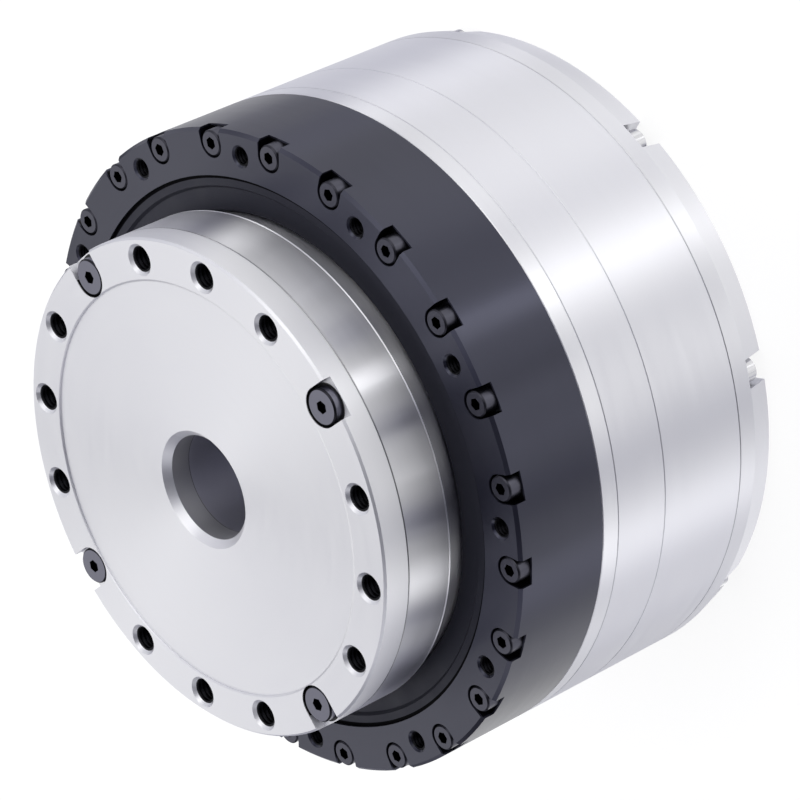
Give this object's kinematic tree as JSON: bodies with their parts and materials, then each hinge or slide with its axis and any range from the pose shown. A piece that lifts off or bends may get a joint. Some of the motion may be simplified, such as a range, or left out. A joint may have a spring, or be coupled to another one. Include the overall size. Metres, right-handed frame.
{
  "type": "strain wave rotary actuator",
  "caption": "Hollow-shaft rotary actuator: flanged output over a black bearing ring and a silver motor barrel, with a strain wave gear, a hollow motor and an encoder inside.",
  "frame": {"origin": "centre of the rear face, on the axis of rotation", "axes": "+Z along the axis of rotation, out of the output face; +X through one screw of the output plate at rest"},
  "size_m": [0.18, 0.18, 0.121],
  "materials": {
    "plate_face": "fine turned, near white",
    "ground_steel": "satin, ground around the axis",
    "bearing_steel": "ground",
    "gear_steel": "machined",
    "shaft_steel": "turned",
    "tube_metal": "dark grey satin",
    "black_oxide": "satin black oxide",
    "screw_black": "black oxide",
    "screw_grey": "matt grey",
    "screw_bright": "bright",
    "bright_band": "fine turned",
    "housing_satin": "satin, turned",
    "cover_satin": "satin, turned",
    "seal_rubber": "matt",
    "lamination": "stacked sheets",
    "copper": "enamelled wire",
    "magnet": "nickel plated",
    "encoder_glass": "polished code disc",
    "circuit_board": "solder mask",
    "chip_black": "moulded",
    "cage_brass": "machined",
    "cage_polymer": "moulded"
  },
  "bodies": {
    "output": {"output_plate": "plate_face", "plate_screws": "screw_grey", "output_hub": "ground_steel", "bearing_inner_ring_front": "bearing_steel", "bearing_inner_ring_rear": "bearing_steel", "inner_ring_screws": "screw_black", "flexspline": "gear_steel", "flexspline_clamp_ring": "bearing_steel", "flexspline_clamp_screws": "screw_black", "centre_tube": "tube_metal"},
    "crossed_roller_set": {"crossed_rollers": "bearing_steel", "crossed_roller_spacers": "cage_polymer"},
    "shaft_roller_set": {"front_bearing_rollers": "bearing_steel", "rear_bearing_rollers": "bearing_steel", "front_bearing_cage": "cage_brass", "rear_bearing_cage": "cage_brass"},
    "input": {"motor_shaft": "shaft_steel", "shaft_keys": "bearing_steel", "wave_generator_plug": "shaft_steel", "wave_bearing_inner_race": "bearing_steel", "wave_bearing_rollers": "bearing_steel", "wave_bearing_cage": "cage_polymer", "wave_bearing_outer_race": "bearing_steel", "wave_generator_spacer": "shaft_steel", "wave_generator_nut": "screw_black", "rotor_hub": "shaft_steel", "rotor_magnets": "magnet", "encoder_disc": "encoder_glass", "encoder_spacer": "shaft_steel", "front_bearing_inner_race": "bearing_steel", "rear_bearing_inner_race": "bearing_steel"},
    "body": {"bearing_outer_ring": "black_oxide", "ring_screws": "screw_black", "output_seal": "seal_rubber", "circular_spline": "bright_band", "front_housing": "housing_satin", "main_housing": "housing_satin", "rear_cover": "cover_satin", "rear_screws": "screw_bright", "static_seals": "seal_rubber", "stator_core": "lamination", "stator_coils": "copper", "front_bearing_outer_race": "bearing_steel", "rear_bearing_outer_race": "bearing_steel", "encoder_board": "circuit_board", "encoder_reader": "chip_black", "encoder_board_screws": "screw_bright", "tube_seal": "seal_rubber", "cable_grommets": "seal_rubber"}
  },
  "joints": [
    {"name": "input_turn", "type": "hinge", "parent": "body", "child": "input", "pos_m": [0, 0, 0], "axis": [0, 0, 1], "continuous": true, "deforming": ["flexspline"]},
    {"name": "output_turn", "type": "hinge", "parent": "body", "child": "output", "pos_m": [0, 0, 0], "axis": [0, 0, 1], "continuous": true},
    {"name": "crossed_roller_turn", "type": "hinge", "parent": "body", "child": "crossed_roller_set", "pos_m": [0, 0, 0], "axis": [0, 0, 1], "continuous": true},
    {"name": "shaft_roller_turn", "type": "hinge", "parent": "body", "child": "shaft_roller_set", "pos_m": [0, 0, 0], "axis": [0, 0, 1], "continuous": true}
  ],
  "couplings": [
    {"joint": "output_turn", "follows": "input_turn", "ratio": -0.02},
    {"joint": "crossed_roller_turn", "follows": "input_turn", "ratio": -0.01},
    {"joint": "shaft_roller_turn", "follows": "input_turn", "ratio": 0.4697}
  ]
}
